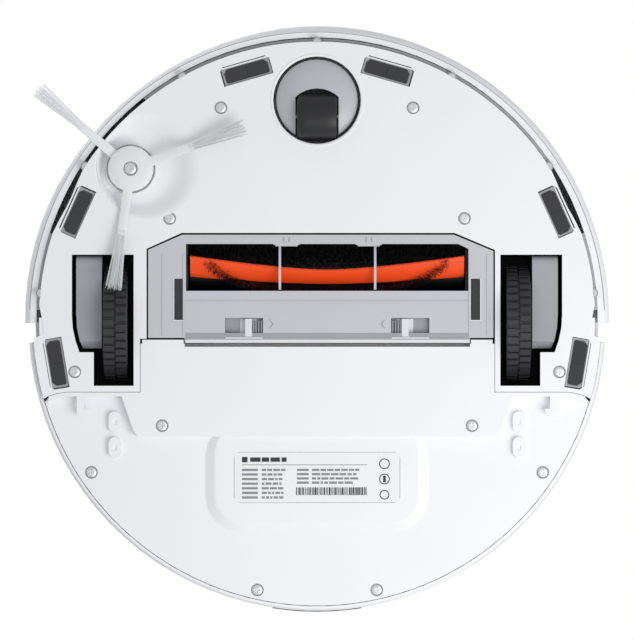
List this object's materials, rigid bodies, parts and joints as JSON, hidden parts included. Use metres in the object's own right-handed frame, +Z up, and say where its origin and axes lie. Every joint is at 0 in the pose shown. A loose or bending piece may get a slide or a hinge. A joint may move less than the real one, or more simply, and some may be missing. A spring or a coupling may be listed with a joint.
{
  "type": "robot vacuum",
  "caption": "Low round robot vacuum and mop with sprung front bumper, driven wheels, swivel caster, side brush, roller brush and rear bin.",
  "frame": {"origin": "on the floor under the middle of the machine", "axes": "+Z up, -Y forward towards the bumper, +X to the left of its travel"},
  "size_m": [0.3506, 0.3526, 0.0815],
  "materials": {
    "white_abs": "fine satin moulded ABS",
    "black_abs": "satin black ABS",
    "grey_abs": "light grey satin ABS",
    "gearbox_grey": "mid grey ABS",
    "black_rubber": "matt black rubber",
    "zinc_plated_steel": "zinc plated",
    "smoked_lens": "smoked polycarbonate",
    "milky_nylon": "milky nylon",
    "orange_rubber": "soft orange blades",
    "battery_wrap": "shrink wrap",
    "green_board": "solder mask",
    "smoked_bin": "smoked ABS",
    "filter_paper": "pleated paper",
    "label_film": "printed film"
  },
  "bodies": {
    "chassis": {"base_screw_01": "zinc_plated_steel", "base_screw_02": "zinc_plated_steel", "base_screw_03": "zinc_plated_steel", "base_screw_04": "zinc_plated_steel", "base_screw_05": "zinc_plated_steel", "base_screw_06": "zinc_plated_steel", "base_screw_07": "zinc_plated_steel", "base_screw_08": "zinc_plated_steel", "base_screw_09": "zinc_plated_steel", "base_screw_10": "zinc_plated_steel", "base_screw_11": "zinc_plated_steel", "base_screw_12": "zinc_plated_steel", "battery_pack": "battery_wrap", "brush_bearing": "black_abs", "brush_chamber": "black_abs", "brush_motor": "black_abs", "camera_window": "smoked_lens", "cliff_sensor_front_left": "smoked_lens", "cliff_sensor_front_right": "smoked_lens", "cliff_sensor_rear_left": "smoked_lens", "cliff_sensor_rear_right": "smoked_lens", "cliff_sensor_side_left": "smoked_lens", "cliff_sensor_side_right": "smoked_lens", "fan_housing": "black_abs", "front_base": "white_abs", "main_board": "green_board", "rating_label": "label_film", "rear_base": "white_abs", "side_brush_motor": "black_abs", "side_shell": "white_abs", "suction_duct": "black_abs", "top_cover": "white_abs", "wheel_well_left": "black_abs", "wheel_well_right": "black_abs"},
    "bumper": {"bumper": "white_abs"},
    "caster": {"caster_housing": "grey_abs", "caster_axle": "zinc_plated_steel"},
    "caster_roller": {"caster_wheel": "black_rubber"},
    "drive_left": {"drive_arm_left": "gearbox_grey", "arm_spring_left": "zinc_plated_steel"},
    "drive_right": {"drive_arm_right": "gearbox_grey", "arm_spring_right": "zinc_plated_steel"},
    "wheel_left": {"wheel_hub_left": "black_abs", "tyre_left": "black_rubber"},
    "wheel_right": {"wheel_hub_right": "black_abs", "tyre_right": "black_rubber"},
    "side_brush": {"side_brush": "milky_nylon", "side_brush_screw": "zinc_plated_steel"},
    "main_brush": {"main_brush": "orange_rubber"},
    "brush_guard": {"brush_cover": "grey_abs", "cover_pad_left": "black_rubber", "cover_pad_right": "black_rubber"},
    "guard_latch_left": {"latch_left": "grey_abs"},
    "guard_latch_right": {"latch_right": "grey_abs"},
    "bin": {"dust_bin": "smoked_bin", "bin_filter": "filter_paper"},
    "bin_release": {"bin_latch": "grey_abs"},
    "power_key": {"power_button": "white_abs"},
    "home_key": {"home_button": "white_abs"},
    "fan": {"impeller": "white_abs"}
  },
  "joints": [
    {"name": "bumper_press", "type": "slide", "parent": "chassis", "child": "bumper", "axis": [0, 1, 0], "range_m": [0, 0.003], "stiffness_N_per_m": 400, "springref_m": -0.002},
    {"name": "caster_swivel", "type": "hinge", "parent": "chassis", "child": "caster", "pos_m": [0, -0.1314, 0.0314], "axis": [0, 0, 1], "continuous": true},
    {"name": "caster_roll", "type": "hinge", "parent": "caster", "child": "caster_roller", "pos_m": [0, -0.1217, 0.014], "axis": [1, 0, 0], "continuous": true},
    {"name": "suspension_left", "type": "hinge", "parent": "chassis", "child": "drive_left", "pos_m": [-0.1364, -0.0335, 0.0175], "axis": [-1, 0, 0], "range_deg": [0, 15], "stiffness_Nm_per_rad": 0.6, "springref_deg": 20.05, "deforming": ["arm_spring_left", "side_brush"]},
    {"name": "suspension_right", "type": "hinge", "parent": "chassis", "child": "drive_right", "pos_m": [0.1364, -0.0335, 0.0175], "axis": [-1, 0, 0], "range_deg": [0, 15], "stiffness_Nm_per_rad": 0.6, "springref_deg": 20.05, "deforming": ["arm_spring_right"]},
    {"name": "wheel_spin_left", "type": "hinge", "parent": "drive_left", "child": "wheel_left", "pos_m": [-0.1207, 0.0019, 0.0353], "axis": [1, 0, 0], "continuous": true},
    {"name": "wheel_spin_right", "type": "hinge", "parent": "drive_right", "child": "wheel_right", "pos_m": [0.1207, 0.0019, 0.0353], "axis": [1, 0, 0], "continuous": true},
    {"name": "side_brush_spin", "type": "hinge", "parent": "chassis", "child": "side_brush", "pos_m": [-0.1115, -0.0903, 0.0066], "axis": [0, 0, 1], "continuous": true},
    {"name": "main_brush_spin", "type": "hinge", "parent": "chassis", "child": "main_brush", "pos_m": [0.0061, -0.0312, 0.0285], "axis": [1, 0, 0], "continuous": true},
    {"name": "brush_guard_hinge", "type": "hinge", "parent": "chassis", "child": "brush_guard", "pos_m": [0.0022, -0.05, 0.0112], "axis": [-1, 0, 0], "range_deg": [0, 50]},
    {"name": "guard_latch_slide_left", "type": "slide", "parent": "brush_guard", "child": "guard_latch_left", "axis": [1, 0, 0], "range_m": [0, 0.0035], "stiffness_N_per_m": 300, "springref_m": -0.001},
    {"name": "guard_latch_slide_right", "type": "slide", "parent": "brush_guard", "child": "guard_latch_right", "axis": [-1, 0, 0], "range_m": [0, 0.0035], "stiffness_N_per_m": 300, "springref_m": -0.001},
    {"name": "bin_slide", "type": "slide", "parent": "chassis", "child": "bin", "axis": [0, 1, 0], "range_m": [0, 0.105]},
    {"name": "bin_release_press", "type": "slide", "parent": "bin", "child": "bin_release", "axis": [0, -1, 0], "range_m": [0, 0.0005], "stiffness_N_per_m": 600, "springref_m": -0.001},
    {"name": "power_press", "type": "slide", "parent": "chassis", "child": "power_key", "axis": [0, 0, -1], "range_m": [0, 0.001], "stiffness_N_per_m": 600, "springref_m": -0.001},
    {"name": "home_press", "type": "slide", "parent": "chassis", "child": "home_key", "axis": [0, 0, -1], "range_m": [0, 0.001], "stiffness_N_per_m": 600, "springref_m": -0.001},
    {"name": "fan_spin", "type": "hinge", "parent": "chassis", "child": "fan", "pos_m": [0.066, 0.046, 0.042], "axis": [0, 0, 1], "continuous": true}
  ]
}
